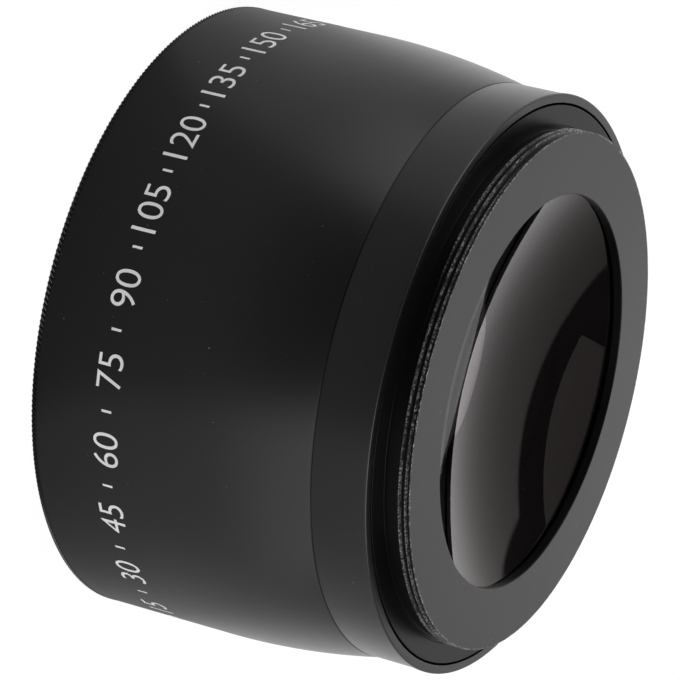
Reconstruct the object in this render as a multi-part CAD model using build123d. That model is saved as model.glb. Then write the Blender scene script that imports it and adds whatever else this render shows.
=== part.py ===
from build123d import *
import math
import os

# Telephoto conversion lens, in millimetres.
# The optical axis is Z. The front rim stands on z = 0 and the rear thread, which screws
# into a camera lens, is at the top. The origin is the centre of the front rim's plane.

# Rear thread and the faces round it
mount_thread_diameter = 58.0
thread_pitch = 0.75
thread_depth = 0.46
thread_crest_flat = 0.12
thread_root_flat = 0.08
thread_turns = 3
thread_end_offset = 0.48
thread_land = 0.1
thread_length = 3.2
foot_groove_margin = 0.06
foot_groove_depth = 0.1
mount_face_width = 2.3
rear_face_width = 6.9
rear_hole_chamfer = 0.08
lip_thickness = 1.0

# Barrel
seam_gap = 0.25
band_wall = 0.9
band_flare = 0.05
band_length = 6.7
rim_width = 0.45
rim_lip = 0.1
waist_drop = 1.98
straight_length = 16.0
front_wall = 3.23
rear_edge_radius = 0.15
shoulder_thickness = 1.6
shoulder_overlap = 2.4
mount_flange_thickness = 2.7
spigot_step = 1.3
spigot_length = 5.6
spigot_relief = 0.6

# Front ring with the accessory thread
front_flange_thickness = 0.8
front_flange_overhang = 0.04
front_ring_length = 2.8
front_ring_step = 1.2
front_edge_chamfer = 0.35
accessory_thread_wall = 1.35
accessory_thread_depth = 0.4
accessory_thread_turns = 3
accessory_thread_start = 0.35

# Front glass and what holds it
ring_gap = 0.3
front_retaining_thickness = 3.3
front_retaining_step = 0.6
front_retaining_width = 1.75
front_cushion_thickness = 0.4
glass_bevel_width = 0.9
front_curve_radius = 95.0
front_back_radius = 220.0
front_edge_thickness = 1.8
glass_gap = 0.6
second_curve_radius = 65.0
second_back_radius = 180.0
second_edge_thickness = 2.0

# Light baffle between the glass groups
baffle_height = 4.92
baffle_front_margin = 0.25
baffle_rear_margin = 0.2
baffle_step_count = 4
baffle_flange_thickness = 1.0

# Rear glass and what holds it
rear_glass_overlap = 2.4
rear_seat_width = 1.65
rear_curve_radius = 48.0
rear_inner_radius = 75.0
rear_centre_thickness = 2.4
rear_cushion_thickness = 0.4
rear_retaining_thickness = 2.0
rear_retaining_step = 0.6
rear_retaining_width = 2.6
cell_wall = 2.5

# Spanner slots in both retaining rings
slot_width = 2.0
slot_depth = 1.1

# Clearances, measured on the radius
glass_clearance = 0.05
screw_clearance = 0.04


def sag(radius, reach):
    """Depth of a spherical surface between its centre and the given reach."""
    return radius - math.sqrt(radius * radius - reach * reach)


# Radii that follow from the values above
mount_thread_radius = mount_thread_diameter / 2
neck_radius = mount_thread_radius - thread_depth
foot_groove_radius = mount_thread_radius + foot_groove_margin
rear_hole_radius = mount_thread_radius - rear_face_width
flange_radius = mount_thread_radius + mount_face_width
counterbore_radius = flange_radius + seam_gap
band_radius = counterbore_radius + band_wall
rim_radius = band_radius + rim_lip
crease_radius = band_radius - band_flare
body_radius = crease_radius + waist_drop
front_flange_radius = body_radius + front_flange_overhang
glass_bore_radius = body_radius - front_wall
front_glass_radius = glass_bore_radius - glass_clearance
front_reach = front_glass_radius - glass_bevel_width
retaining_bore_radius = glass_bore_radius + front_retaining_step
ring_bore_radius = glass_bore_radius + front_ring_step
accessory_root_radius = ring_bore_radius - screw_clearance - accessory_thread_wall
accessory_crest_radius = accessory_root_radius - accessory_thread_depth
shoulder_radius = glass_bore_radius - shoulder_overlap
spigot_radius = flange_radius - spigot_step
spigot_bore_radius = spigot_radius + screw_clearance
chamber_radius = spigot_bore_radius - spigot_relief
rear_glass_radius = rear_hole_radius + rear_glass_overlap
rear_reach = rear_glass_radius - rear_seat_width
rear_bore_radius = rear_glass_radius + glass_clearance
rear_retaining_bore_radius = rear_bore_radius + rear_retaining_step
cell_radius = rear_retaining_bore_radius + cell_wall
baffle_radius = chamber_radius - glass_clearance

# Heights that follow, from the front rim to the rear face
front_ring_end = front_flange_thickness + front_ring_length
front_retaining_start = front_ring_end + ring_gap
front_cushion_start = front_retaining_start + front_retaining_thickness
front_glass_start = front_cushion_start + front_cushion_thickness
spacer_start = front_glass_start + front_edge_thickness
spacer_length = (
    sag(front_back_radius, front_reach) + glass_gap + sag(second_curve_radius, front_reach)
)
second_glass_start = spacer_start + spacer_length
shoulder_start = second_glass_start + second_edge_thickness
chamber_start = shoulder_start + shoulder_thickness
cell_start = chamber_start + baffle_height
rear_cushion_start = cell_start + rear_retaining_thickness
rear_glass_start = rear_cushion_start + rear_cushion_thickness
rear_glass_end = (
    rear_glass_start
    + sag(rear_inner_radius, rear_reach)
    + rear_centre_thickness
    + sag(rear_curve_radius, rear_reach)
)
total_length = rear_glass_end + lip_thickness
barrel_end = total_length - thread_length
counterbore_start = barrel_end - mount_flange_thickness
spigot_start = counterbore_start - spigot_length
crease_height = barrel_end - band_length
rim_start = barrel_end - rim_width


def revolved(points):
    """Solid of revolution about Z from a closed outline of (radius, height) points."""
    outline = Polyline(*[(radius, 0, height) for radius, height in points], close=True)
    return revolve(make_face(outline), Axis.Z, 360)


def ring(inner, outer, low, high):
    """Plain ring between two radii and two heights."""
    return revolved([(inner, low), (outer, low), (outer, high), (inner, high)])


def thread_ridges(crest, root, first_centre, turns):
    """Outline points of thread ridges, from low to high, one pitch apart."""
    half_crest = thread_crest_flat / 2
    half_root = (thread_pitch - thread_root_flat) / 2
    points = []
    for turn in range(turns):
        centre = first_centre + turn * thread_pitch
        points.append((root, centre - half_root))
        points.append((crest, centre - half_crest))
        points.append((crest, centre + half_crest))
        points.append((root, centre + half_root))
    return points


def lens(low_edge, low_curve, high_edge, high_curve, reach, edge_radius):
    """Round glass whose two curves are signed depths at the centre and at half reach.

    Each curve is a function that gives the height above the flat edge at a radius.
    """
    low_arc = ThreePointArc(
        (0, 0, low_edge + low_curve(0)),
        (reach / 2, 0, low_edge + low_curve(reach / 2)),
        (reach, 0, low_edge),
    )
    high_arc = ThreePointArc(
        (reach, 0, high_edge),
        (reach / 2, 0, high_edge + high_curve(reach / 2)),
        (0, 0, high_edge + high_curve(0)),
    )
    edge = Polyline(
        (reach, 0, low_edge),
        (edge_radius, 0, low_edge),
        (edge_radius, 0, high_edge),
        (reach, 0, high_edge),
    )
    axis_line = Line(high_arc @ 1, low_arc @ 0)
    return revolve(make_face([low_arc, edge, high_arc, axis_line]), Axis.Z, 360)


def surface(radius, reach, side):
    """Height function of a spherical surface, measured from its edge at the reach."""
    return lambda distance: side * (sag(radius, reach) - sag(radius, distance))


def spanner_slots(inner, outer, face, depth):
    """Two opposite slots cut into a ring's face for a spanner wrench."""
    width = outer - inner
    slots = []
    for side in (-1, 1):
        centre = side * (inner + width / 2)
        slots.append(Pos(centre, 0, face) * Box(width * 1.5, slot_width, 2 * depth))
    return slots


def make_barrel():
    """Outer barrel with its waist, rear band and rim, inner shoulder and the end bores."""
    waist = TangentArc(
        (body_radius, 0, straight_length), (crease_radius, 0, crease_height), tangent=(0, 0, 1)
    )
    edge_start = (rim_radius, 0, barrel_end - rear_edge_radius)
    band = Polyline(
        (crease_radius, 0, crease_height),
        (band_radius, 0, rim_start),
        (rim_radius, 0, rim_start),
        edge_start,
    )
    edge = TangentArc(edge_start, (rim_radius - rear_edge_radius, 0, barrel_end), tangent=(0, 0, 1))
    inside = Polyline(
        edge @ 1,
        (counterbore_radius, 0, barrel_end),
        (counterbore_radius, 0, counterbore_start),
        (spigot_bore_radius, 0, counterbore_start),
        (spigot_bore_radius, 0, spigot_start),
        (chamber_radius, 0, spigot_start),
        (chamber_radius, 0, chamber_start),
        (shoulder_radius, 0, chamber_start),
        (shoulder_radius, 0, shoulder_start),
        (glass_bore_radius, 0, shoulder_start),
        (glass_bore_radius, 0, front_cushion_start),
        (retaining_bore_radius, 0, front_cushion_start),
        (retaining_bore_radius, 0, front_ring_end),
        (ring_bore_radius, 0, front_ring_end),
        (ring_bore_radius, 0, front_flange_thickness),
        (body_radius, 0, front_flange_thickness),
        (body_radius, 0, straight_length),
    )
    return revolve(make_face([waist, band, edge, inside]), Axis.Z, 360)


def make_front_ring():
    """Front ring whose flange closes the barrel, with a thread inside for accessories."""
    body_outer = ring_bore_radius - screw_clearance
    ridges = thread_ridges(
        accessory_crest_radius, accessory_root_radius,
        accessory_thread_start + thread_pitch / 2, accessory_thread_turns,
    )
    outline = [
        (accessory_root_radius, front_ring_end),
        (body_outer, front_ring_end),
        (body_outer, front_flange_thickness),
        (front_flange_radius, front_flange_thickness),
        (front_flange_radius, front_edge_chamfer),
        (front_flange_radius - front_edge_chamfer, 0),
        (accessory_root_radius, 0),
    ]
    return revolved(outline + ridges)


def make_front_retaining_ring():
    """Screwed ring that holds the front glass, with a sloped inner wall and two slots."""
    outer = retaining_bore_radius - screw_clearance
    inner_low = outer - front_retaining_width
    inner_high = front_reach - glass_clearance
    body = revolved([
        (inner_low, front_retaining_start),
        (outer, front_retaining_start),
        (outer, front_cushion_start),
        (inner_high, front_cushion_start),
    ])
    slots = spanner_slots(inner_low, outer, front_retaining_start, slot_depth)
    return body - slots


def make_front_cushion_ring():
    """Thin ring between the front retaining ring and the glass."""
    return ring(front_reach, front_glass_radius, front_cushion_start, front_glass_start)


def make_front_element():
    """Front glass, convex on both sides."""
    return lens(
        front_glass_start, surface(front_curve_radius, front_reach, -1),
        spacer_start, surface(front_back_radius, front_reach, 1),
        front_reach, front_glass_radius,
    )


def make_front_spacer_ring():
    """Tube that sets the air space between the two front glasses."""
    return ring(front_reach, front_glass_radius, spacer_start, second_glass_start)


def make_second_element():
    """Second glass, a meniscus that bulges to the front."""
    return lens(
        second_glass_start, surface(second_curve_radius, front_reach, -1),
        shoulder_start, surface(second_back_radius, front_reach, -1),
        front_reach, front_glass_radius,
    )


def make_light_baffle():
    """Stepped black cone that keeps stray light off the rear glass."""
    front_radius = shoulder_radius - baffle_front_margin
    rear_radius = rear_reach + baffle_rear_margin
    step_height = baffle_height / baffle_step_count
    step_width = (front_radius - rear_radius) / (baffle_step_count - 1)
    outline = [
        (cell_radius, cell_start),
        (cell_radius, chamber_start + baffle_flange_thickness),
        (baffle_radius, chamber_start + baffle_flange_thickness),
        (baffle_radius, chamber_start),
    ]
    for step in range(baffle_step_count):
        radius = front_radius - step * step_width
        height = chamber_start + step * step_height
        outline.append((radius, height))
        outline.append((radius, height + step_height))
    return revolved(outline)


def make_rear_retaining_ring():
    """Screwed ring that holds the rear glass in its cell, with two slots."""
    outer = rear_retaining_bore_radius - screw_clearance
    inner = outer - rear_retaining_width
    body = ring(inner, outer, cell_start, rear_cushion_start)
    return body - spanner_slots(inner, outer, cell_start, slot_depth)


def make_rear_cushion_ring():
    """Thin ring between the rear retaining ring and the glass."""
    return ring(rear_reach, rear_glass_radius, rear_cushion_start, rear_glass_start)


def make_rear_element():
    """Rear glass, hollow on both sides, that seats under the mount ring's lip."""
    return lens(
        rear_glass_start, surface(rear_inner_radius, rear_reach, 1),
        rear_glass_end, surface(rear_curve_radius, rear_reach, -1),
        rear_reach, rear_glass_radius,
    )


def make_rear_mount_ring():
    """Ring with the rear thread, the lip over the rear glass and the cell that holds it."""
    ridges = thread_ridges(
        mount_thread_radius, neck_radius,
        total_length - thread_end_offset - (thread_turns - 1) * thread_pitch, thread_turns,
    )
    outline = [
        (rear_retaining_bore_radius, cell_start),
        (cell_radius, cell_start),
        (cell_radius, spigot_start),
        (spigot_radius, spigot_start),
        (spigot_radius, counterbore_start),
        (flange_radius, counterbore_start),
        (flange_radius, barrel_end),
        (foot_groove_radius, barrel_end),
        (foot_groove_radius, barrel_end - foot_groove_depth),
        (neck_radius, barrel_end - foot_groove_depth),
    ]
    outline += ridges
    outline += [
        (mount_thread_radius, total_length - thread_land),
        (mount_thread_radius, total_length),
        (rear_hole_radius + rear_hole_chamfer, total_length),
        (rear_hole_radius, total_length - rear_hole_chamfer),
        (rear_hole_radius, rear_glass_end),
        (rear_bore_radius, rear_glass_end),
        (rear_bore_radius, rear_cushion_start),
        (rear_retaining_bore_radius, rear_cushion_start),
    ]
    return revolved(outline)


pieces = {
    "barrel": make_barrel,
    "front_ring": make_front_ring,
    "front_retaining_ring": make_front_retaining_ring,
    "front_cushion_ring": make_front_cushion_ring,
    "front_element": make_front_element,
    "front_spacer_ring": make_front_spacer_ring,
    "second_element": make_second_element,
    "light_baffle": make_light_baffle,
    "rear_retaining_ring": make_rear_retaining_ring,
    "rear_cushion_ring": make_rear_cushion_ring,
    "rear_element": make_rear_element,
    "rear_mount_ring": make_rear_mount_ring,
}

os.makedirs("parts", exist_ok=True)
for name, make_piece in pieces.items():
    export_step(make_piece(), "parts/" + name + ".step")

front_vertex = front_glass_start - sag(front_curve_radius, front_reach)
print("overall length", round(total_length, 3), "rear shoulder", round(barrel_end, 3))
print("front flange radius", round(front_flange_radius, 3), "front glass at", round(front_vertex, 3))
print("accessory thread crest radius", round(accessory_crest_radius, 3))
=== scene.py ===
"""Looks of a telephoto conversion lens, built round its packed model.

The optical axis is Z. The front rim stands on the floor and the rear thread is at the top.
Every size is in metres.
"""
import math

import bmesh
import bpy
from bpy.props import FloatProperty, FloatVectorProperty, IntProperty, PointerProperty
from mathutils import Matrix, Vector


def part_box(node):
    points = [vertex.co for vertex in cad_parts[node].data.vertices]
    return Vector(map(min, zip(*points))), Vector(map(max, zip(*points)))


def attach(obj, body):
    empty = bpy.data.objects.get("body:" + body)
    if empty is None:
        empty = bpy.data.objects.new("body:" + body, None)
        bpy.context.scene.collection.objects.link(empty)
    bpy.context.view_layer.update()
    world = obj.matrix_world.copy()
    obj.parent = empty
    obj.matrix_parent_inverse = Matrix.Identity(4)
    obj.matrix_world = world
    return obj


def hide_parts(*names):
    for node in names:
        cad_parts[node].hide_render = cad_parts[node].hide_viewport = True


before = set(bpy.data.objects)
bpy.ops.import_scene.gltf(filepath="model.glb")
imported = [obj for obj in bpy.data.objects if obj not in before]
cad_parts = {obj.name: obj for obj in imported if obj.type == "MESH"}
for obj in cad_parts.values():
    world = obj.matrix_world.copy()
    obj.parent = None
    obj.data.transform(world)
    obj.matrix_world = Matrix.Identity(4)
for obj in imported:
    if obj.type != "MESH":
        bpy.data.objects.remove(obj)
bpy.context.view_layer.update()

bl_info = {
    "name": "Conversion lens finish",
    "version": (1, 0, 0),
    "blender": (4, 5, 0),
    "location": "View3D > Sidebar > Lens",
    "description": "Builds the finished look of a telephoto conversion lens round its solids",
    "category": "Object",
}

BARREL_LOW, BARREL_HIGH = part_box("barrel")
RING_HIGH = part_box("front_ring")[1]
RETAINER_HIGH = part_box("front_retaining_ring")[1]
MOUNT_LOW, MOUNT_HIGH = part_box("rear_mount_ring")
REAR_GLASS_LOW, REAR_GLASS_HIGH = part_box("rear_element")
FRONT_GLASS_LOW, FRONT_GLASS_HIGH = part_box("front_element")
SECOND_GLASS_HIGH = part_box("second_element")[1]

# How fine the meshes are
LATHE_STEPS = 720
GLASS_LATHE_STEPS = 480
LATHE_PATH_RADIUS = 0.01
MERGE_DISTANCE = 1e-7
SHARP_ANGLE = math.radians(10)
EDGE_ROUND = 0.00006
ROUND_STEPS = 2
ROUND_LIMIT = 0.4
WAIST_STEPS = 36
EDGE_STEPS = 10
THREAD_STEPS = 240
THREAD_RUN_OUT = 0.05
THREAD_TIP = 0.02
FONT_STEPS = 6
FONT_THICKNESS = 0.01

# How far a piece that lies on another reaches into it, and the knurl's feet and crests
EMBED = 0.00005
KNURL_FOOT = 0.45
KNURL_BACK = 0.25
KNURL_START = 0.00003
KNURL_SINK = 0.00001

# Patterns of the finishes. A span says between which values of the noise a pattern sets in.
CLOUD_SCALE, CLOUD_SPREAD = 260.0, 0.18
DUST_SCALE, DUST_SPAN, DUST_GREY = 2600.0, (0.8, 0.86), (0.25, 0.25, 0.25)
TURNING_SCALE, TURNING_STRETCH, TURNING_SPREAD = 900.0, (0.05, 0.05, 6.0), 0.08
GRAIN_SCALE, GRAIN_DEPTH = 9000.0, 0.00002
WEAR_START, WEAR_FULL = 0.26, 0.08
CHIP_SCALE, CHIP_SPAN = 4200.0, (0.49, 0.57)
PATCH_SCALE, PATCH_SPAN, PATCH_WEAR = 420.0, (0.35, 0.6), (0.15, 0.85)
GLASS_INDEX = 1.517
FILM_SCALE, FILM_SPAN, FILM_ROUGHNESS, FILM_LIFT = 700.0, (0.7, 0.9), (0.0, 0.01), 1.03
FLOOR_SCALE, FLOOR_SPREAD = 40.0, 0.99

# Lamps: place, point aimed at, and size
LAMPS = {
    "top_light": ((-0.283, -0.006, 0.9), (-0.283, -0.006, 0.0), (0.86, 1.02)),
    "right_light": ((0.77, -0.65, 0.67), (0.0, 0.0, 0.02), (1.2, 0.9)),
    "left_light": ((-0.99, -0.15, 0.67), (0.0, 0.0, 0.02), (1.0, 0.8)),
    "low_light": ((0.0, 0.97, 0.278), (0.0, 0.0, 0.036), (0.14, 0.28)),
}
TOP_TURN = math.radians(-5)
LOW_COLOUR = (0.98, 0.93, 1.0)

# The wedge of directions in which the camera and its stand take the light
WEDGE_MIDDLE, WEDGE_SPAN = (-0.225, -0.974, 0.0), (0.69, 0.84)

# The floor's glow in mirrored views, a painted reflection with painted shade in the camera's
# wedge and a painted shadow round and under the lens: spans in millimetres from the axis or
# in parts of a direction, and levels of light. The stops go from the front to the back.
CARD_STOPS = ((0.15, 0.45), (0.35, 0.47), (0.53, 0.56), (0.62, 0.57), (0.67, 0.66),
              (0.74, 0.86), (0.82, 0.96), (1.0, 1.0))
CARD_RIGHT, CARD_RIGHT_LEVELS = (0.4, 0.95), (1.0, 0.86)
CARD_WEDGE_LEVEL = 0.2
CARD_BACK, CARD_FAR_LEVELS = (-0.03, 0.03), (0.95, 0.37)
CARD_FAR = (115.0, 185.0)
# Painted shadow close round the lens, and painted shade under it
CARD_SHADOW, CARD_SHADOW_LEVELS = (36.0, 62.0), (0.62, 1.0)
CARD_FOOT, CARD_FOOT_LEVEL = (33.6, 34.4), 0.235

# The tent: spans in parts of a direction, and levels of light. The stops go up.
TENT_STOPS = ((0.0, 1.05), (0.2, 0.93), (0.276, 0.86), (0.342, 0.75), (0.39, 0.65),
              (0.454, 0.56), (0.515, 0.48), (0.588, 0.43), (0.656, 0.39), (0.755, 0.37))
TENT_ACROSS, TENT_ACROSS_LEVELS = (-0.35, 0.45), (1.3, 0.75)
TENT_EDGE, TENT_EDGE_SPAN = (0.229, 1.3, -1.0), (0.0, 0.04)
TENT_END, TENT_END_SPAN = (0.891, 0.454, 0.0), (-0.01, 0.01)
TENT_HIGH, TENT_OUTSIDE_LEVEL = (0.45, 0.55), 0.06
TENT_LEFT, TENT_LEFT_LEVELS = (-0.95, -0.6), (1.4, 1.0)
TENT_FRONT, TENT_FRONT_LEVELS = (0.15, 0.4), (1.1, 0.45)
TENT_WEDGE_LEVEL = 0.1
TENT_BEHIND = (-0.1, 0.2)


def length(label, about, default):
    """A length property in metres."""
    return FloatProperty(name=label, description=about, default=default, unit="LENGTH",
                         precision=5, min=0.0, soft_max=1.0)


def share(label, about, default):
    """A property between 0 and 1."""
    return FloatProperty(name=label, description=about, default=default, subtype="FACTOR",
                         min=0.0, max=1.0)


def colour(label, about, default):
    """A colour property in linear values."""
    return FloatVectorProperty(name=label, description=about, default=default, size=3,
                               subtype="COLOR", min=0.0, max=1.0)


def angle(label, about, degrees):
    """An angle property, given in degrees and kept in radians."""
    return FloatProperty(name=label, description=about, default=math.radians(degrees),
                         subtype="ANGLE", unit="ROTATION")


def power(label, about, default):
    """A lamp's power in watts."""
    return FloatProperty(name=label, description=about, default=default, unit="POWER", min=0.0)


def turns(label, about, default):
    """A number of turns."""
    return FloatProperty(name=label, description=about, default=default, min=1.0, soft_max=10.0)


def group(label, kind):
    """A group of settings, described by the first words of its class."""
    return PointerProperty(name=label, description=kind.__doc__.rstrip("."), type=kind)


class LensBarrelSizes(bpy.types.PropertyGroup):
    """Sizes of the outer barrel."""
    radius: length("Radius", "Radius of the barrel's body", BARREL_HIGH.x)
    straight: length("Straight length", "Height at which the body starts to curve in", 0.016)
    waist_drop: length("Waist drop", "How far the body curves in before the band", 0.00198)
    band_length: length("Band length", "Length of the rear band", 0.0067)
    band_flare: length("Band flare", "How far the band widens to the rear", 0.00005)
    band_wall: length("Band wall", "Wall between the seam and the band's outside", 0.0009)
    crease_depth: length("Crease depth", "Depth of the turned line at the band's start", 0.00003)
    crease_width: length("Crease width", "Width of the turned line at the band's start", 0.0002)
    rim_width: length("Rim width", "Width of the small rim at the band's rear edge", 0.00045)
    rim_lip: length("Rim lip", "How far the rim stands out of the band", 0.0001)
    edge_radius: length("Edge radius", "Rounding of the rear outer edge", 0.00015)
    front_wall: length("Front wall", "Wall round the front glass", 0.00323)
    shoulder_overlap: length("Shoulder overlap", "Reach of the shoulder over the glass", 0.0024)
    shoulder_thickness: length("Shoulder thickness", "Thickness of the shoulder", 0.0016)
    retaining_step: length("Retaining step", "Step out to the retaining ring's bore", 0.0006)
    ring_step: length("Ring step", "Step out to the front ring's bore", 0.0012)


class LensMountSizes(bpy.types.PropertyGroup):
    """Sizes of the rear mount ring and its thread."""
    thread_radius: length("Thread radius", "Radius over the thread's crests", 0.029)
    thread_depth: length("Thread depth", "Depth of the thread", 0.00046)
    thread_pitch: length("Thread pitch", "Rise of the thread in one turn", 0.00075)
    crest_width: length("Crest width", "Width of the thread's crest", 0.00014)
    foot_width: length("Foot width", "Width of the thread ridge at its foot", 0.00068)
    thread_start: length("Thread start", "Height of the thread's start over the shoulder", 0.0012)
    thread_turns: turns("Thread turns", "Turns of the thread ridge", 2.2)
    thread_turn_in: angle("Thread angle", "Direction in which the thread starts", -88.0)
    land: length("Land", "Plain edge between the thread and the rear face", 0.0001)
    edge_wear: length("Edge wear", "Width of the worn rim of the rear face", 0.00022)
    thread_length: length("Thread length", "Length from the shoulder to the rear face", 0.0032)
    groove_margin: length("Groove margin", "Reach of the foot groove past the crests", 0.00006)
    groove_depth: length("Groove depth", "Depth of the groove at the thread's foot", 0.0001)
    hole_radius: length("Hole radius", "Radius of the hole over the rear glass", 0.0221)
    hole_chamfer: length("Hole chamfer", "Chamfer of the hole's edge", 0.00008)
    lip: length("Lip", "Thickness of the lip over the rear glass", 0.001)
    flange: length("Flange", "Thickness of the flange in the barrel's end", 0.0027)
    spigot_length: length("Spigot length", "Length of the screwed part under the flange", 0.0056)
    spigot_step: length("Spigot step", "Step in from the flange to the screwed part", 0.0013)
    spigot_relief: length("Spigot relief", "Step in from the screwed bore to the chamber", 0.0006)
    cell_wall: length("Cell wall", "Wall of the cell round the retaining ring", 0.0025)
    retaining_step: length("Retaining step", "Step out to the retaining ring's bore", 0.0006)
    retaining_depth: length("Retaining depth", "Depth of the retaining ring's bore", 0.002)
    seam: length("Seam", "Gap between the flange and the barrel", 0.00025)
    glass_clearance: length("Glass clearance", "Gap round the glass", 0.00005)
    screw_clearance: length("Screw clearance", "Gap in the screwed joints", 0.00004)


class LensFrontRingSizes(bpy.types.PropertyGroup):
    """Sizes of the front ring and of the knurl on its edge."""
    flange: length("Flange", "Thickness of the knurled flange", 0.0008)
    chamfer: length("Chamfer", "Chamfer of the front edge", 0.00035)
    wall: length("Wall", "Wall between the inner thread and the barrel", 0.00135)
    thread_depth: length("Thread depth", "Depth of the inner thread", 0.0004)
    thread_start: length("Thread start", "Height of the inner thread's first turn", 0.00065)
    thread_turns: turns("Thread turns", "Turns of the inner thread", 2.6)
    knurl_pitch: length("Knurl pitch", "Distance between the knurl's ridges", 0.0006)
    knurl_depth: length("Knurl depth", "Height of the knurl's ridges", 0.00015)
    knurl_crest: length("Knurl crest", "Width of a ridge's crest", 0.0001)
    knurl_slant: angle("Knurl slant", "Slant of the ridges away from the axis", 40.0)


class LensGlassSizes(bpy.types.PropertyGroup):
    """Radii of the glass surfaces."""
    rear_outer: length("Rear outer radius", "Hollow surface under the rear face", 0.048)
    rear_inner: length("Rear inner radius", "Hollow surface inside", 0.075)
    rear_seat: length("Rear seat", "Flat edge of the rear glass", 0.00165)
    front_outer: length("Front outer radius", "Bulging surface at the front", 0.095)
    front_inner: length("Front inner radius", "Back of the front glass", 0.22)
    front_edge: length("Front edge", "Edge thickness of the front glass", 0.0018)
    second_outer: length("Second outer radius", "Bulging surface of the second glass", 0.065)
    second_inner: length("Second inner radius", "Hollow back of the second glass", 0.18)
    second_edge: length("Second edge", "Edge thickness of the second glass", 0.002)
    bevel: length("Bevel", "Flat edge of the two front glasses", 0.0009)
    steps: IntProperty(name="Steps", description="Points across half a glass", default=44, min=8)


class LensDialSizes(bpy.types.PropertyGroup):
    """Sizes of the printed ring of numbers."""
    height: length("Height", "Height of the numbers", 0.0031)
    centre: length("Centre", "Distance from the front rim to the numbers' middle", 0.0095)
    count: IntProperty(name="Count", description="Numbers round the barrel", default=24, min=4)
    step: IntProperty(name="Step", description="Difference between two numbers", default=15)
    thinning: length("Thinning", "How much thinner the strokes are than the font's", 0.00003)
    film: length("Film", "Height of the print over the barrel", 0.00002)
    tick_length: length("Tick length", "Length of the small marks between numbers", 0.0012)
    tick_width: length("Tick width", "Width of the small marks", 0.00028)


class LensColours(bpy.types.PropertyGroup):
    """Colours of the finishes."""
    barrel: colour("Barrel", "Satin black of the barrel", (0.003, 0.003, 0.0031))
    mount: colour("Mount", "Matt black of the rear mount ring", (0.003, 0.003, 0.0031))
    inside: colour("Inside", "Black of the inner rings", (0.004, 0.0038, 0.0036))
    bare_metal: colour("Bare metal", "Aluminium where the finish is worn", (0.5, 0.5, 0.51))
    numbers: colour("Numbers", "White of the numbers", (0.88, 0.88, 0.88))
    coating: colour("Coating", "Tint of the light that the rear glass reflects", (1.0, 0.8, 0.8))
    cushion: colour("Cushion", "Black of the cushion rings", (0.015, 0.015, 0.015))
    floor: colour("Floor", "Colour of the floor under its glow", (0.12, 0.12, 0.12))


class LensStudioSizes(bpy.types.PropertyGroup):
    """Camera, floor and lamps."""
    camera_distance: length("Camera distance", "Distance from the axis to the camera", 0.45476)
    camera_height: length("Camera height", "Height of the camera over the floor", 0.23293)
    camera_pan: angle("Camera pan", "How far the camera looks past the axis", 0.038)
    camera_down: angle("Camera down", "How far the camera looks down", 25.196)
    camera_roll: angle("Camera roll", "Turn of the camera about its own axis", 104.289)
    focal_length: FloatProperty(name="Focal length", description="Focal length in millimetres",
                                default=238.97, subtype="DISTANCE_CAMERA")
    floor_size: length("Floor size", "Side of the floor", 6.0)
    floor_glow: share("Floor glow", "Light that the floor adds for the camera", 0.93)
    top_power: power("Top power", "Power of the lamp overhead", 0.75)
    right_power: power("Right power", "Power of the lamp at the right", 9.7)
    left_power: power("Left power", "Power of the lamp at the left", 6.4)
    low_power: power("Low power", "Power of the small lamp behind", 0.058)


class LensSettings(bpy.types.PropertyGroup):
    """All sizes and colours of the lens and its stage."""
    barrel: group("Barrel", LensBarrelSizes)
    mount: group("Mount", LensMountSizes)
    front_ring: group("Front ring", LensFrontRingSizes)
    glass: group("Glass", LensGlassSizes)
    dial: group("Number ring", LensDialSizes)
    colours: group("Colours", LensColours)
    studio: group("Stage", LensStudioSizes)


def settings():
    """The lens's settings on the scene."""
    return bpy.context.scene.conversion_lens


def sag(radius, reach):
    """Depth of a spherical surface between its centre and the given reach."""
    return radius - math.sqrt(radius * radius - reach * reach)


def softened(outline, size=EDGE_ROUND):
    """The closed outline with each corner rounded, so that edges catch the light."""
    points = [Vector(p) for p in outline]
    result = []
    for index, corner in enumerate(points):
        before = points[index - 1] - corner
        after = points[(index + 1) % len(points)] - corner
        turn = math.pi - before.angle(after)
        if turn < SHARP_ANGLE:
            result.append(corner.to_tuple())
            continue
        reach = min(size * math.tan(turn / 2), before.length * ROUND_LIMIT,
                    after.length * ROUND_LIMIT)
        start = corner + before.normalized() * reach
        end = corner + after.normalized() * reach
        for step in range(ROUND_STEPS + 1):
            t = step / ROUND_STEPS
            point = start * (1 - t) ** 2 + corner * 2 * t * (1 - t) + end * t ** 2
            result.append(point.to_tuple())
    return result


def cap_points(edge_height, radius, reach, side, steps):
    """Points of a spherical surface from just inside its edge to the axis."""
    points = []
    for step in range(1, steps + 1):
        distance = reach * (1 - step / steps)
        depth = sag(radius, reach) - sag(radius, distance)
        points.append((distance, edge_height + side * depth))
    return points


def barrel_radii():
    """Radii that the barrel, the rings and the glass share."""
    barrel = settings().barrel
    mount = settings().mount
    radii = {"glass": barrel.radius - barrel.front_wall}
    radii["shoulder"] = radii["glass"] - barrel.shoulder_overlap
    radii["retaining"] = radii["glass"] + barrel.retaining_step
    radii["ring"] = radii["glass"] + barrel.ring_step
    radii["counterbore"] = MOUNT_HIGH.x + mount.seam
    radii["band"] = radii["counterbore"] + barrel.band_wall
    radii["spigot"] = MOUNT_HIGH.x - mount.spigot_step + mount.screw_clearance
    radii["chamber"] = radii["spigot"] - mount.spigot_relief
    return radii


def feed(tree, socket, value):
    """Links another socket to an input or sets it to a value. Colours have three parts."""
    if isinstance(value, bpy.types.NodeSocket):
        tree.links.new(value, socket)
    else:
        socket.default_value = (*value, 1) if socket.type == "RGBA" else value


def add_node(tree, kind, inputs=None, result=0, **options):
    """Adds a node with its options and its inputs, and returns one of its outputs."""
    node = tree.nodes.new(kind)
    for name, value in options.items():
        setattr(node, name, value)
    for key, value in (inputs or {}).items():
        feed(tree, node.inputs[key], value)
    return node.outputs[result]


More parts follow.
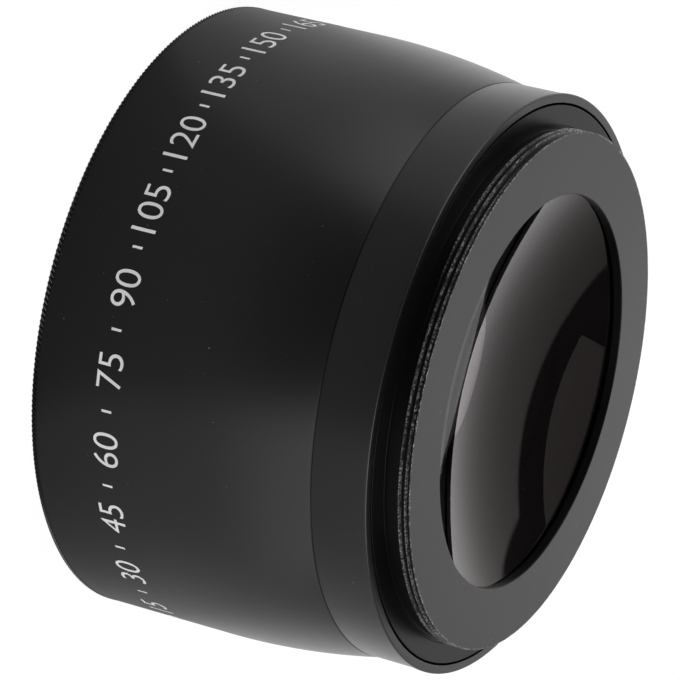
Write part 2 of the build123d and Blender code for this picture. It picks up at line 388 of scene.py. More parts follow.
def calculated(tree, operation, first, second):
    """The result of a math node on two sockets or numbers."""
    return add_node(tree, "ShaderNodeMath", {0: first, 1: second}, operation=operation)


def new_tree(name, sockets):
    """A geometry node tree, and its inputs: a mesh, those named, and a material."""
    tree = bpy.data.node_groups.new(name, "GeometryNodeTree")
    tree.interface.new_socket(name="Geometry", in_out="OUTPUT", socket_type="NodeSocketGeometry")
    for label, kind in {"Geometry": "Geometry", **sockets, "Material": "Material"}.items():
        tree.interface.new_socket(name=label, in_out="INPUT", socket_type="NodeSocket" + kind)
    return tree, tree.nodes.new("NodeGroupInput").outputs


def close_tree(tree, given, mesh):
    """Ends a tree in real meshes with the material given as an input."""
    real = add_node(tree, "GeometryNodeRealizeInstances", {"Geometry": mesh})
    painted = add_node(tree, "GeometryNodeSetMaterial",
                       {"Geometry": real, "Material": given["Material"]})
    feed(tree, tree.nodes.new("NodeGroupOutput").inputs["Geometry"], painted)


def lathe_tree():
    """Turns a closed wire into a solid of revolution about Z."""
    tree, given = new_tree("turned_profile", {
        "Steps": "Int", "Path radius": "Float", "Merge distance": "Float",
    })
    path = add_node(tree, "GeometryNodeCurvePrimitiveCircle",
                    {"Resolution": given["Steps"], "Radius": given["Path radius"]}, mode="RADIUS")
    profile = add_node(tree, "GeometryNodeMeshToCurve", {"Mesh": given["Geometry"]})
    swept = add_node(tree, "GeometryNodeCurveToMesh", {"Curve": path, "Profile Curve": profile})
    merged = add_node(tree, "GeometryNodeMergeByDistance",
                      {"Geometry": swept, "Distance": given["Merge distance"]})
    close_tree(tree, given, merged)


def thread_tree():
    """Winds a closed wire along a helix about Z, and fades it out at both ends."""
    tree, given = new_tree("wound_thread", {
        "Radius": "Float", "Pitch": "Float", "Turns": "Float", "Start": "Float",
        "Direction": "Float", "Run out": "Float", "Steps": "Int",
    })
    height = calculated(tree, "MULTIPLY", given["Turns"], given["Pitch"])
    spiral = add_node(tree, "GeometryNodeCurveSpiral", {
        "Resolution": given["Steps"], "Rotations": given["Turns"], "Height": height,
        "Start Radius": given["Radius"], "End Radius": given["Radius"],
    })
    upright = add_node(tree, "GeometryNodeSetCurveNormal", {"Curve": spiral}, mode="Z_UP")
    from_start = add_node(tree, "GeometryNodeSplineParameter", result="Factor")
    from_end = calculated(tree, "SUBTRACT", 1.0, from_start)
    fade = add_node(tree, "ShaderNodeMapRange", {
        "Value": calculated(tree, "MINIMUM", from_start, from_end),
        "From Max": given["Run out"], "To Min": THREAD_TIP,
    }, interpolation_type="SMOOTHSTEP")
    profile = add_node(tree, "GeometryNodeMeshToCurve", {"Mesh": given["Geometry"]})
    swept = add_node(tree, "GeometryNodeCurveToMesh", {
        "Curve": upright, "Profile Curve": profile, "Scale": fade, "Fill Caps": True,
    })
    lift = add_node(tree, "ShaderNodeCombineXYZ", {"Z": given["Start"]})
    turn = add_node(tree, "ShaderNodeCombineXYZ", {"Z": given["Direction"]})
    close_tree(tree, given, add_node(tree, "GeometryNodeTransform", {
        "Geometry": swept, "Translation": lift, "Rotation": turn,
    }))


def copies_tree():
    """Repeats a small mesh evenly round the axis."""
    tree, given = new_tree("ring_of_copies", {"Count": "Int", "Direction": "Float"})
    points = add_node(tree, "GeometryNodePoints", {"Count": given["Count"]})
    number = add_node(tree, "GeometryNodeInputIndex")
    step = calculated(tree, "DIVIDE", math.tau, given["Count"])
    turned_by = calculated(tree, "MULTIPLY", number, step)
    direction = calculated(tree, "ADD", turned_by, given["Direction"])
    turn = add_node(tree, "ShaderNodeCombineXYZ", {"Z": direction})
    close_tree(tree, given, add_node(tree, "GeometryNodeInstanceOnPoints", {
        "Points": points, "Instance": given["Geometry"], "Rotation": turn,
    }))


def add_piece(name, mesh):
    """A new object in the scene that holds the mesh."""
    piece = bpy.data.objects.new(name, mesh)
    bpy.context.scene.collection.objects.link(piece)
    return piece


def run_tree(piece, tree_name, material, **values):
    """Runs a node tree on a piece and keeps what it makes as the piece's mesh.

    Underscores in the names of the tree's inputs stand for spaces.
    """
    tree = bpy.data.node_groups[tree_name]
    modifier = piece.modifiers.new(tree_name, "NODES")
    modifier.node_group = tree
    inputs = {item.name: item.identifier for item in tree.interface.items_tree
              if item.in_out == "INPUT"}
    values["Material"] = bpy.data.materials[material]
    for name, value in values.items():
        modifier[inputs[name.replace("_", " ")]] = value
    made = plain_mesh(piece)
    piece.modifiers.remove(modifier)
    piece.data = made
    tidy_normals(made)
    return piece


def plain_mesh(piece):
    """The evaluated piece as a mesh of its own."""
    bpy.context.view_layer.update()
    depsgraph = bpy.context.evaluated_depsgraph_get()
    mesh = bpy.data.meshes.new_from_object(piece.evaluated_get(depsgraph))
    mesh.name = piece.name
    return mesh


def tidy_normals(mesh):
    """Points every face outwards and keeps the edges of flat faces crisp."""
    shape = bmesh.new()
    shape.from_mesh(mesh)
    bmesh.ops.remove_doubles(shape, verts=shape.verts, dist=MERGE_DISTANCE)
    bmesh.ops.recalc_face_normals(shape, faces=shape.faces)
    if shape.calc_volume(signed=True) < 0:
        bmesh.ops.reverse_faces(shape, faces=shape.faces)
    shape.to_mesh(mesh)
    shape.free()
    for polygon in mesh.polygons:
        polygon.use_smooth = True
    mesh.set_sharp_from_angle(angle=SHARP_ANGLE)


def wire_piece(name, points):
    """A piece that holds a closed wire, for a tree to sweep. The sweep turns Y downwards."""
    wire = bpy.data.meshes.new(name)
    edges = [(index, (index + 1) % len(points)) for index in range(len(points))]
    wire.from_pydata([(across, -height, 0.0) for across, height in points], edges, [])
    return add_piece(name, wire)


def turned(name, outline, material, steps=LATHE_STEPS):
    """A turned piece from a closed outline of (radius, height) points."""
    points = [(radius - LATHE_PATH_RADIUS, height) for radius, height in outline]
    return run_tree(wire_piece(name, points), "turned_profile", material, Steps=steps,
                    Path_radius=LATHE_PATH_RADIUS, Merge_distance=MERGE_DISTANCE)


def wound(name, outline, material, **values):
    """A thread ridge wound from a closed outline of (rise, height) points."""
    points = [(-rise, height) for rise, height in outline]
    return run_tree(wire_piece(name, points), "wound_thread", material,
                    Run_out=THREAD_RUN_OUT, Steps=THREAD_STEPS, **values)


def copied_bars(name, stations, foot, crest, material, count, direction=0.0):
    """Copies of a tapered bar, evenly spaced round the axis, its ends capped.

    A station is a height, a shift sideways, and the radii of the foot and of the crest. The
    foot and the crest are given as half widths.
    """
    vertices = []
    for height, shift, low, high in stations:
        vertices += [(low, shift - foot, height), (high, shift - crest, height),
                     (high, shift + crest, height), (low, shift + foot, height)]
    corners = 4
    last = (len(stations) - 1) * corners
    faces = [tuple(range(corners)), tuple(last + corner for corner in range(corners))]
    for row in range(0, last, corners):
        for corner in range(corners):
            low, beside = row + corner, row + (corner + 1) % corners
            faces.append((low, beside, beside + corners, low + corners))
    mesh = bpy.data.meshes.new(name)
    mesh.from_pydata(vertices, [], faces)
    return run_tree(add_piece(name, mesh), "ring_of_copies", material, Count=count,
                    Direction=direction)


def finish_piece(piece, slot, *nodes):
    """Puts a piece on the root body and hides the solids that it stands for. The slot is not used.
    """
    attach(piece, "root")
    if nodes:
        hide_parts(*nodes)


def paint_faces(piece, material, wanted):
    """Gives a material to the faces whose centre's radius and height the test accepts."""
    mesh = piece.data
    mesh.materials.append(bpy.data.materials[material])
    for face in mesh.polygons:
        radius = math.hypot(face.center.x, face.center.y)
        if wanted(radius, face.center.z):
            face.material_index = len(mesh.materials) - 1


class Shading:
    """A node material with short ways to add the patterns that the finishes share."""

    def __init__(self, owner, place="Object"):
        owner.use_nodes = True
        self.tree = owner.node_tree
        self.place = self.add("ShaderNodeTexCoord", result=place)

    def add(self, kind, inputs=None, result=0, **options):
        """Adds a node and returns one of its outputs."""
        return add_node(self.tree, kind, inputs, result, **options)

    def set(self, **values):
        """Sets the shader's own inputs. Underscores in a name stand for spaces."""
        shader = self.tree.nodes["Principled BSDF"]
        for name, value in values.items():
            feed(self.tree, shader.inputs[name.replace("_", " ")], value)

    def noise(self, scale, detail=2.0, roughness=0.5, stretch=(1, 1, 1)):
        """Noise on the piece's own coordinates."""
        place = self.add("ShaderNodeMapping", {"Vector": self.place, "Scale": stretch})
        return self.add("ShaderNodeTexNoise", {
            "Vector": place, "Scale": scale, "Detail": detail, "Roughness": roughness,
        })

    def ranged(self, value, span, levels=(0.0, 1.0), kind="LINEAR"):
        """A value mapped from a span to a pair of levels, and kept between them."""
        return self.add("ShaderNodeMapRange", {
            "Value": value, "From Min": span[0], "From Max": span[1],
            "To Min": levels[0], "To Max": levels[1],
        }, interpolation_type=kind)

    def eased(self, value, span):
        """A value mapped smoothly from a span to between 0 and 1."""
        return self.ranged(value, span, kind="SMOOTHSTEP")

    def product(self, first, second):
        """The product of two values."""
        return calculated(self.tree, "MULTIPLY", first, second)

    def larger(self, first, second):
        """The larger of two values."""
        return calculated(self.tree, "MAXIMUM", first, second)

    def axes(self, vector=None):
        """The three parts of a vector, or else of the place."""
        return self.add("ShaderNodeSeparateXYZ", {"Vector": vector or self.place}).node.outputs

    def flat_direction(self):
        """The level direction away from the axis."""
        flat = self.add("ShaderNodeVectorMath", {0: self.place, 1: (1, 1, 0)},
                        operation="MULTIPLY")
        return self.add("ShaderNodeVectorMath", {0: flat}, operation="NORMALIZE")

    def radius(self):
        """Distance from the axis, in millimetres."""
        flat = self.add("ShaderNodeVectorMath", {0: self.place, 1: (1000, 1000, 0)},
                        operation="MULTIPLY")
        return self.add("ShaderNodeVectorMath", {0: flat}, "Value", operation="LENGTH")

    def along(self, direction, vector=None):
        """How far a vector, or else the place, reaches in a direction."""
        return self.add("ShaderNodeVectorMath", {0: vector or self.place, 1: direction},
                        "Value", operation="DOT_PRODUCT")

    def ramp(self, value, stops):
        """A grey level that follows the given (value, level) stops."""
        grey = self.add("ShaderNodeValToRGB", {"Fac": value})
        elements = grey.node.color_ramp.elements
        while len(elements) < len(stops):
            elements.new(0.5)
        for element, (position, level) in zip(elements, stops):
            element.position = position
            element.color = (level, level, level, 1)
        return grey

    def between(self, factor, first, second):
        """A value between two values, each a number or a socket."""
        return self.add("ShaderNodeMix", {0: factor, 2: first, 3: second})

    def blend(self, factor, first, second):
        """A colour between two colours, each a tuple or a socket."""
        return self.add("ShaderNodeMix", {0: factor, 6: first, 7: second}, 2, data_type="RGBA")

    def bump(self, height, strength, distance):
        """Small relief on the surface, with its depth in metres."""
        self.set(Normal=self.add("ShaderNodeBump", {
            "Height": height, "Strength": strength, "Distance": distance,
        }))


def spread(value, share):
    """A value less and plus a share of itself."""
    return value * (1 - share), value * (1 + share)


def clouded(shading, base):
    """A colour with soft darker and lighter clouds in it."""
    darker, lighter = zip(*(spread(part, CLOUD_SPREAD) for part in base))
    return shading.blend(shading.noise(CLOUD_SCALE, detail=3.0), darker, lighter)


def anodised(name, base, roughness, gloss, grain):
    """Black anodised aluminium with a fine blasted grain, faint turning marks and dust."""
    shading = Shading(bpy.data.materials.new(name))
    dust = shading.ranged(shading.noise(DUST_SCALE, detail=1.0), DUST_SPAN)
    turning = shading.noise(TURNING_SCALE, stretch=TURNING_STRETCH)
    shading.set(
        Base_Color=shading.blend(dust, clouded(shading, base), DUST_GREY),
        Roughness=shading.ranged(turning, (0.0, 1.0), spread(roughness, TURNING_SPREAD)),
        Specular_IOR_Level=gloss,
    )
    shading.bump(shading.noise(GRAIN_SCALE, roughness=0.6), grain, GRAIN_DEPTH)
    return shading


def worn_crests(shading, base, metal, crest_radius):
    """Wears the finish through to metal, in chips, on what reaches out to the crest radius.

    The radius and the two distances inside it, where the wear starts and is full, are in
    millimetres.
    """
    crest = shading.ranged(shading.radius(), (crest_radius - WEAR_START, crest_radius - WEAR_FULL))
    chips = shading.ranged(shading.noise(CHIP_SCALE, detail=3.0, roughness=0.7), CHIP_SPAN)
    patches = shading.ranged(shading.noise(PATCH_SCALE), PATCH_SPAN, PATCH_WEAR)
    worn = shading.product(crest, shading.product(chips, patches))
    shading.set(Base_Color=shading.blend(worn, clouded(shading, base), metal), Metallic=worn)


def coated_glass(name, tint, reflection, body):
    """Coated optical glass: a tinted reflection, the colour that it lets through, faint dust."""
    shading = Shading(bpy.data.materials.new(name))
    film = shading.noise(FILM_SCALE, detail=4.0, roughness=0.7)
    clearer = tuple(min(1.0, part * FILM_LIFT) for part in body)
    shading.set(
        Transmission_Weight=1.0, IOR=GLASS_INDEX, Specular_IOR_Level=reflection,
        Specular_Tint=tint, Base_Color=shading.blend(film, body, clearer),
        Roughness=shading.ranged(film, FILM_SPAN, FILM_ROUGHNESS),
    )


class LENS_OT_finishes(bpy.types.Operator):
    """Make the finishes of the lens"""
    bl_idname = "lens.finishes"
    bl_label = "Finishes"

    def execute(self, context):
        colours = settings().colours
        finishes = (
            ("barrel_black", colours.barrel, 0.3, 0.5, 0.4),
            ("mount_black", colours.mount, 0.32, 0.44, 0.25),
            # A less glossy copy of the mount's black, used as painted shade in the barrel's crease
            # line, the rear hole's wall, the thread's foot and the knurl's valleys.
            ("painted_shade_black", colours.mount, 0.3, 0.15, 0.25),
            ("knurl_black", colours.barrel, 0.3, 0.5, 0.25),
            ("inner_black", colours.inside, 0.7, 0.1, 0.25),
            ("edge_ink", colours.inside, 0.8, 0.05, 0.25),
            ("cushion_black", colours.cushion, 0.8, 0.2, 0.4),
            ("numbers_white", colours.numbers, 0.6, 0.3, 0.2),
        )
        for name, base, roughness, gloss, grain in finishes:
            anodised(name, base, roughness, gloss, grain)
        thread = anodised("thread_worn", colours.mount, 0.4, 0.5, 0.25)
        worn_crests(thread, colours.mount, colours.bare_metal,
                    settings().mount.thread_radius * 1000)
        coated_glass("rear_coating", colours.coating, reflection=0.5, body=(0.45, 0.42, 0.42))
        coated_glass("inner_coating", colours.coating, reflection=0.03, body=(0.97, 0.97, 0.97))
        return {"FINISHED"}


class LENS_OT_barrel(bpy.types.Operator):
    """Turn the outer barrel with its waist, band and rounded rear edge"""
    bl_idname = "lens.barrel"
    bl_label = "Barrel"

    def execute(self, context):
        size = settings().barrel
        mount = settings().mount
        radii = barrel_radii()
        end = BARREL_HIGH.z
        crease = radii["band"] - size.band_flare
        crease_height = end - size.band_length
        waist_length = crease_height - size.straight
        waist_radius = (waist_length ** 2 + size.waist_drop ** 2) / (2 * size.waist_drop)
        outline = [(size.radius, BARREL_LOW.z), (size.radius, size.straight)]
        for step in range(1, WAIST_STEPS):
            rise = waist_length * step / WAIST_STEPS
            outline.append((size.radius - sag(waist_radius, rise), size.straight + rise))
        flange_start = end - mount.flange
        spigot_start = flange_start - mount.spigot_length
        shoulder_end = SECOND_GLASS_HIGH.z + size.shoulder_thickness
        rim = radii["band"] + size.rim_lip
        line_start = waist_length - size.crease_width / 2
        outline += [(size.radius - sag(waist_radius, line_start), size.straight + line_start),
                    (crease - size.crease_depth, crease_height),
                    (crease, crease_height + size.crease_width / 2),
                    (radii["band"], end - size.rim_width),
                    (rim, end - size.rim_width)]
        for step in range(EDGE_STEPS + 1):
            turn = math.pi / 2 * step / EDGE_STEPS
            outline.append((rim - size.edge_radius * (1 - math.cos(turn)),
                            end - size.edge_radius * (1 - math.sin(turn))))
        outline += [
            (radii["counterbore"], end),
            (radii["counterbore"], flange_start),
            (radii["spigot"], flange_start),
            (radii["spigot"], spigot_start),
            (radii["chamber"], spigot_start),
            (radii["chamber"], shoulder_end),
            (radii["shoulder"], shoulder_end),
            (radii["shoulder"], SECOND_GLASS_HIGH.z),
            (radii["glass"], SECOND_GLASS_HIGH.z),
            (radii["glass"], RETAINER_HIGH.z),
            (radii["retaining"], RETAINER_HIGH.z),
            (radii["retaining"], RING_HIGH.z),
            (radii["ring"], RING_HIGH.z),
            (radii["ring"], BARREL_LOW.z),
        ]
        piece = turned("barrel_shell", softened(outline), "barrel_black")
        # Painted shade: the turned line at the band's start gets the less glossy black.
        paint_faces(piece, "painted_shade_black", lambda radius, height:
                    radius > radii["counterbore"]
                    and abs(height - crease_height) < size.crease_width / 2)
        finish_piece(piece, "barrel_finish", "barrel")
        return {"FINISHED"}


class LENS_OT_mount_ring(bpy.types.Operator):
    """Turn the rear mount ring and wind the thread round it"""
    bl_idname = "lens.mount_ring"
    bl_label = "Rear mount ring"

    def execute(self, context):
        size = settings().mount
        neck = size.thread_radius - size.thread_depth
        finish_piece(self.turn_ring(size, neck), "mount_finish", "rear_mount_ring")
        foot, crest = size.foot_width / 2, size.crest_width / 2
        ridge = [(-EMBED, -foot), (size.thread_depth, -crest), (size.thread_depth, crest),
                 (-EMBED, foot)]
        start = MOUNT_HIGH.z - size.thread_length + size.thread_start
        thread = wound("rear_thread_ridge", ridge, "thread_worn", Radius=neck,
                       Pitch=size.thread_pitch, Turns=size.thread_turns, Start=start,
                       Direction=size.thread_turn_in)
        finish_piece(thread, "mount_finish")
        return {"FINISHED"}

    def turn_ring(self, size, neck):
        """The ring without its thread."""
        glass = REAR_GLASS_HIGH.x + size.glass_clearance
        retaining = glass + size.retaining_step
        cell = retaining + size.cell_wall
        flange = MOUNT_HIGH.x
        spigot = flange - size.spigot_step
        top = MOUNT_HIGH.z
        shoulder = top - size.thread_length
        groove = size.thread_radius + size.groove_margin
        flange_start = shoulder - size.flange
        spigot_start = flange_start - size.spigot_length
        outline = [
            (retaining, MOUNT_LOW.z),
            (cell, MOUNT_LOW.z),
            (cell, spigot_start),
            (spigot, spigot_start),
            (spigot, flange_start),
            (flange, flange_start),
            (flange, shoulder),
            (groove, shoulder),
            (groove, shoulder - size.groove_depth),
            (neck, shoulder - size.groove_depth),
            (neck, top - size.land - size.thread_depth / 2),
            (size.thread_radius, top - size.land),
            (size.thread_radius, top),
            (size.thread_radius - size.edge_wear, top),
            (size.hole_radius + size.hole_chamfer, top),
            (size.hole_radius, top - size.hole_chamfer),
            (size.hole_radius, top - size.lip),
            (glass, top - size.lip),
            (glass, MOUNT_LOW.z + size.retaining_depth),
            (retaining, MOUNT_LOW.z + size.retaining_depth),
        ]
        ring = turned("mount_ring_turned", softened(outline), "mount_black")
        land = top - size.land - size.thread_depth / 2
        edge = size.thread_radius - size.edge_wear
        paint_faces(ring, "thread_worn", lambda radius, height: radius > edge and height > land)
        bore = size.hole_radius + size.hole_chamfer / 2
        # Painted shade: the hole's wall and everything under the thread's land get the less glossy
        # black.
        paint_faces(ring, "painted_shade_black", lambda radius, height:
                    radius < bore and height > top - size.lip
                    or radius > neck - EMBED and height < land)
        return ring


class LENS_OT_front_ring(bpy.types.Operator):
    """Turn the front ring, knurl its edge and wind the accessory thread inside it"""
    bl_idname = "lens.front_ring"
    bl_label = "Front ring"

    def execute(self, context):
        size = settings().front_ring
        outer = RING_HIGH.x
        body = barrel_radii()["ring"] - settings().mount.screw_clearance
        inner = body - size.wall
        valley = outer - size.knurl_depth
        back = outer - size.knurl_depth * KNURL_BACK
        outline = [
            (inner, 0.0),
            (valley - size.chamfer, 0.0),
            (valley, size.chamfer),
            (back, size.flange),
            (body, size.flange),
            (body, RING_HIGH.z),
            (inner, RING_HIGH.z),
        ]
        ring = turned("front_ring_turned", softened(outline), "barrel_black")
        # Painted shade: the knurled flange's front and chamfer get the less glossy black.
        paint_faces(ring, "painted_shade_black", lambda radius, height:
                    radius > body + EMBED and height < size.flange - EMBED)
        finish_piece(ring, "barrel_finish", "front_ring")
        finish_piece(self.knurl(size, outer, valley), "barrel_finish")
        mount = settings().mount
        foot, crest = mount.foot_width / 2, mount.crest_width / 2
        ridge = [(EMBED, -foot), (EMBED, foot), (-size.thread_depth, crest),
                 (-size.thread_depth, -crest)]
        thread = wound("accessory_thread_ridge", ridge, "barrel_black", Radius=inner,
                       Pitch=mount.thread_pitch, Turns=size.thread_turns,
                       Start=size.thread_start, Direction=0.0)
        finish_piece(thread, "barrel_finish")
        return {"FINISHED"}

    def knurl(self, size, outer, valley):
        """Slanted ridges round the edge, each a thin tapered bar that follows the chamfer."""
        count = round(math.tau * outer / size.knurl_pitch)
        foot, crest = size.knurl_pitch * KNURL_FOOT, size.knurl_crest / 2
        top = outer - KNURL_SINK
        slope = math.tan(size.knurl_slant)
        radii = {KNURL_START: (valley - size.chamfer - EMBED, outer - size.chamfer),
                 size.chamfer: (valley - EMBED, top), size.flange - EMBED: (valley - EMBED, top)}
        stations = [(height, (height - size.flange / 2) * slope, low, high)
                    for height, (low, high) in radii.items()]
        return copied_bars("front_edge_knurl", stations, foot, crest, "knurl_black", count)


class LENS_OT_dial(bpy.types.Operator):
    """Print the plain numbers and the small marks round the barrel"""
    bl_idname = "lens.dial"
    bl_label = "Number ring"

    def execute(self, context):
        size = settings().dial
        finish_piece(self.numbers(size), "barrel_finish")
        radius = settings().barrel.radius
        near, far = radius - EMBED, radius + size.film
        half = size.tick_width / 2
        stations = [(size.centre + side * size.tick_length / 2, 0.0, near, far)
                    for side in (-1, 1)]
        ticks = copied_bars("number_ring_marks", stations, half, half, "numbers_white",
                            size.count, math.pi / size.count)
        finish_piece(ticks, "barrel_finish")
        return {"FINISHED"}

    def numbers(self, size):
        """All numbers as one mesh, bent round the barrel, with their tops to the front."""
        radius = settings().barrel.radius
        low, high = self.extent(self.flat_number("0", 1.0, 0.0), 1)
        scale = size.height / (high - low)
        vertices, faces = [], []
        for index in range(size.count):
            flat = self.flat_number(str(index * size.step), scale, -size.thinning)
            middle = [sum(self.extent(flat, axis)) / 2 for axis in (0, 1)]
            start = len(vertices)
            for vertex in flat.vertices:
                around = -index * math.tau / size.count - (vertex.co.x - middle[0]) / radius
                out = radius + (size.film if vertex.co.z > 0 else -EMBED)
                height = size.centre - (vertex.co.y - middle[1])
                vertices.append((out * math.cos(around), out * math.sin(around), height))
            faces += [[start + corner for corner in face.vertices] for face in flat.polygons]
        mesh = bpy.data.meshes.new("number_ring")
        mesh.from_pydata(vertices, [], faces)
        mesh.materials.append(bpy.data.materials["numbers_white"])
        tidy_normals(mesh)
        return add_piece("number_ring", mesh)

    def extent(self, mesh, axis):
        """The lowest and highest coordinate of a mesh on an axis."""
        places = [vertex.co[axis] for vertex in mesh.vertices]
        return min(places), max(places)

    def flat_number(self, words, scale, offset):
        """A number as a thin flat mesh in the built-in font."""
        data = bpy.data.curves.new("number", "FONT")
        data.body = words
        data.size = scale
        data.offset = offset
        data.extrude = FONT_THICKNESS * scale
        data.resolution_u = FONT_STEPS
        text = add_piece("number", data)
        mesh = plain_mesh(text)
        bpy.data.objects.remove(text)
        return mesh


class LENS_OT_glass(bpy.types.Operator):
    """Grind the three glasses, coat their faces and black their edges"""
    bl_idname = "lens.glass"
    bl_label = "Glass"

    def execute(self, context):
        size = settings().glass
        rear_reach = REAR_GLASS_HIGH.x - size.rear_seat
        rear = self.ground("rear_glass", REAR_GLASS_HIGH.x, rear_reach,
                           (REAR_GLASS_LOW.z, size.rear_inner, 1),
                           (REAR_GLASS_HIGH.z, size.rear_outer, -1))
        middle = REAR_GLASS_LOW.z + sag(size.rear_inner, rear_reach)
        paint_faces(rear, "rear_coating", lambda radius, height: height > middle)
        self.black_edge(rear, rear_reach, "rear_element")
        reach = FRONT_GLASS_HIGH.x - size.bevel
        edge = FRONT_GLASS_LOW.z + sag(size.front_outer, reach)
        front = self.ground("front_glass", FRONT_GLASS_HIGH.x, reach,
                            (edge, size.front_outer, -1),
                            (edge + size.front_edge, size.front_inner, 1))
        self.black_edge(front, reach, "front_element")
        edge = SECOND_GLASS_HIGH.z - size.second_edge
        second = self.ground("second_glass", SECOND_GLASS_HIGH.x, reach,
                             (edge, size.second_outer, -1),
                             (SECOND_GLASS_HIGH.z, size.second_inner, -1))
        self.black_edge(second, reach, "second_element")
        return {"FINISHED"}

    def ground(self, name, edge_radius, reach, low, high):
        """A round glass from its two surfaces, each an edge height, a radius and a side."""
        steps = settings().glass.steps
        low_edge, low_radius, low_side = low
        high_edge, high_radius, high_side = high
        outline = [(reach, low_edge), (edge_radius, low_edge), (edge_radius, high_edge),
                   (reach, high_edge)]
        outline += cap_points(high_edge, high_radius, reach, high_side, steps)
        outline += reversed(cap_points(low_edge, low_radius, reach, low_side, steps))
        return turned(name, outline, "inner_coating", GLASS_LATHE_STEPS)

    def black_edge(self, piece, reach, node):
        """Inks the glass outside its polished surfaces and puts it in place of its solid."""
        paint_faces(piece, "edge_ink", lambda radius, height: radius > reach)
        finish_piece(piece, "optical_glass", node)


class LENS_OT_inner_rings(bpy.types.Operator):
    """Finish the rings and cushions that keep their solids"""
    bl_idname = "lens.inner_rings"
    bl_label = "Inner rings"

    def execute(self, context):
        finishes = {
            "front_retaining_ring": "inner_black",
            "front_cushion_ring": "cushion_black",
            "front_spacer_ring": "inner_black",
            "light_baffle": "inner_black",
            "rear_retaining_ring": "inner_black",
            "rear_cushion_ring": "cushion_black",
        }
        for node, finish in finishes.items():
            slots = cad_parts[node].data.materials
            slots.clear()
            slots.append(bpy.data.materials[finish])
        return {"FINISHED"}


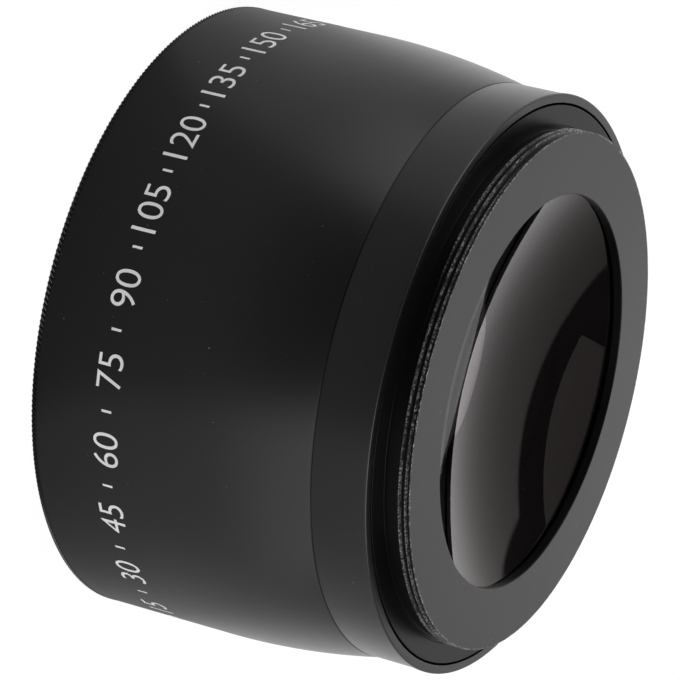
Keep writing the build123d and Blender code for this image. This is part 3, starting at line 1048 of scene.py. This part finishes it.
class LENS_OT_stage(bpy.types.Operator):
    """Lay the floor, hang the lamps and place the camera"""
    bl_idname = "lens.stage"
    bl_label = "Stage"

    def execute(self, context):
        studio = settings().studio
        self.floor(studio)
        context.scene.world = self.tent()
        powers = (studio.top_power, studio.right_power, studio.left_power, studio.low_power)
        lamps = {name: self.lamp(name, *LAMPS[name], watts)
                 for name, watts in zip(LAMPS, powers)}
        lamps["top_light"].rotation_euler.z = TOP_TURN
        lamps["low_light"].data.shape = "ELLIPSE"
        lamps["low_light"].data.color = LOW_COLOUR
        self.camera(studio)
        context.scene.view_settings.view_transform = "Standard"
        return {"FINISHED"}

    def floor(self, studio):
        """A plain white floor that glows for the camera and is a card of light in mirrors."""
        half = studio.floor_size / 2
        mesh = bpy.data.meshes.new("floor")
        corners = [(-half, -half, 0), (half, -half, 0), (half, half, 0), (-half, half, 0)]
        mesh.from_pydata(corners, [], [(0, 1, 2, 3)])
        mesh.materials.append(bpy.data.materials.new("floor_white"))
        shading = Shading(mesh.materials[0])
        white = settings().colours.floor
        darker = tuple(part * FLOOR_SPREAD for part in white)
        rays = shading.add("ShaderNodeLightPath").node.outputs
        seen = shading.ranged(rays["Is Camera Ray"], (0.0, 1.0), (0.0, studio.floor_glow))
        mirrored = shading.larger(rays["Is Glossy Ray"], rays["Is Transmission Ray"])
        card = shading.product(mirrored, self.card_light(shading))
        shading.set(
            Base_Color=shading.blend(shading.noise(FLOOR_SCALE, detail=3.0), darker, white),
            Roughness=0.9, Specular_IOR_Level=0.1, Emission_Color=(1, 1, 1),
            Emission_Strength=shading.larger(seen, card),
        )
        add_piece("floor", mesh)

    def card_light(self, shading):
        """How bright the floor is in mirrored views: a painted reflection, since the floor glows
        for them.

        Round the lens the light grows towards the back, and far off it is bright in front and
        dim behind. It has painted shade in the camera's wedge, a painted shadow close to the lens,
        and painted shade under it.
        """
        front = self.front_wedge(shading)
        across, ahead, _ = shading.axes(shading.flat_direction())
        round_it = shading.ramp(shading.ranged(ahead, (-1.0, 1.0)), CARD_STOPS)
        right = shading.ranged(across, CARD_RIGHT, CARD_RIGHT_LEVELS)
        near = shading.between(front, shading.product(right, round_it), CARD_WEDGE_LEVEL)
        back = shading.eased(shading.axes()[1], CARD_BACK)
        far = shading.between(front, shading.between(back, *CARD_FAR_LEVELS), 0.0)
        distance = shading.radius()
        open_floor = shading.between(shading.eased(distance, CARD_FAR), near, far)
        # Painted shadow: the mirrored glow dims close round the lens.
        painted_contact_shadow = shading.ranged(distance, CARD_SHADOW, CARD_SHADOW_LEVELS)
        # Painted shade: under the lens the mirrored glow drops to a low level.
        outside = shading.ranged(distance, CARD_FOOT)
        return shading.between(outside, CARD_FOOT_LEVEL, shading.product(painted_contact_shadow, open_floor))

    def front_wedge(self, shading):
        """1 in the directions where the camera and its stand take the light, and 0 elsewhere."""
        return shading.eased(shading.along(WEDGE_MIDDLE, shading.flat_direction()), WEDGE_SPAN)

    def tent(self):
        """A white tent, brightest at the horizon.

        Behind the lens its light ends at a slanted edge and, high up, at the left. In front it
        has the camera's dark wedge.
        """
        world = bpy.data.worlds.new("studio")
        shading = Shading(world, "Generated")
        across, ahead, up = shading.axes()
        sides = shading.ranged(across, TENT_ACROSS, TENT_ACROSS_LEVELS)
        card = shading.product(shading.ramp(up, TENT_STOPS), sides)
        under_edge = shading.ranged(shading.along(TENT_EDGE), TENT_EDGE_SPAN)
        right_of_end = shading.ranged(shading.along(TENT_END), TENT_END_SPAN)
        ended = shading.between(shading.ranged(up, TENT_HIGH), 1.0, right_of_end)
        inside = shading.product(under_edge, ended)
        back = shading.between(inside, TENT_OUTSIDE_LEVEL, card)
        left = shading.ranged(across, TENT_LEFT, TENT_LEFT_LEVELS)
        open_side = shading.product(left, shading.ranged(up, TENT_FRONT, TENT_FRONT_LEVELS))
        front = shading.between(self.front_wedge(shading), open_side, TENT_WEDGE_LEVEL)
        light = shading.between(shading.eased(ahead, TENT_BEHIND), front, back)
        background = world.node_tree.nodes["Background"]
        feed(world.node_tree, background.inputs["Strength"], light)
        feed(world.node_tree, background.inputs["Color"], (1, 1, 1))
        return world

    def lamp(self, name, place, aim, size, watts):
        """A rectangular lamp aimed at a point."""
        data = bpy.data.lights.new(name, "AREA")
        data.shape = "RECTANGLE"
        data.size, data.size_y = size
        data.energy = watts
        lamp = add_piece(name, data)
        lamp.location = place
        lamp.rotation_euler = (Vector(aim) - Vector(place)).to_track_quat("-Z", "Y").to_euler()
        return lamp

    def camera(self, studio):
        """The camera of the photograph, which looks down at the rear of the lens."""
        data = bpy.data.cameras.new("camera")
        data.lens = studio.focal_length
        data.sensor_width = 36.0
        data.clip_start = 0.01
        data.clip_end = 50.0
        camera = add_piece("camera", data)
        pan = Matrix.Rotation(studio.camera_pan, 4, "Z")
        look = Matrix.Rotation(math.pi / 2 - studio.camera_down, 4, "X")
        roll = Matrix.Rotation(studio.camera_roll, 4, "Z")
        place = Matrix.Translation((0.0, -studio.camera_distance, studio.camera_height))
        camera.matrix_world = place @ pan @ look @ roll
        bpy.context.scene.camera = camera


STEPS = (
    LENS_OT_stage,
    LENS_OT_finishes,
    LENS_OT_barrel,
    LENS_OT_mount_ring,
    LENS_OT_front_ring,
    LENS_OT_dial,
    LENS_OT_glass,
    LENS_OT_inner_rings,
)


class LENS_PT_panel(bpy.types.Panel):
    """Lists the steps that build the lens"""
    bl_idname = "LENS_PT_panel"
    bl_label = "Conversion lens"
    bl_space_type = "VIEW_3D"
    bl_region_type = "UI"
    bl_category = "Lens"

    def draw(self, context):
        for step in STEPS:
            self.layout.operator(step.bl_idname)


GROUPS = (
    LensBarrelSizes,
    LensMountSizes,
    LensFrontRingSizes,
    LensGlassSizes,
    LensDialSizes,
    LensColours,
    LensStudioSizes,
    LensSettings,
)

CLASSES = GROUPS + STEPS + (LENS_PT_panel,)


def register():
    """Registers the classes and puts the settings on the scene."""
    for item in CLASSES:
        bpy.utils.register_class(item)
    bpy.types.Scene.conversion_lens = group("Conversion lens", LensSettings)


def unregister():
    """Takes the settings and the classes away again."""
    del bpy.types.Scene.conversion_lens
    for item in reversed(CLASSES):
        bpy.utils.unregister_class(item)


def main():
    """Builds the stage and the lens."""
    register()
    lathe_tree()
    thread_tree()
    copies_tree()
    bpy.ops.lens.stage()
    bpy.ops.lens.finishes()
    bpy.ops.lens.barrel()
    bpy.ops.lens.mount_ring()
    bpy.ops.lens.front_ring()
    bpy.ops.lens.dial()
    bpy.ops.lens.glass()
    bpy.ops.lens.inner_rings()


if __name__ == "__main__":
    main()
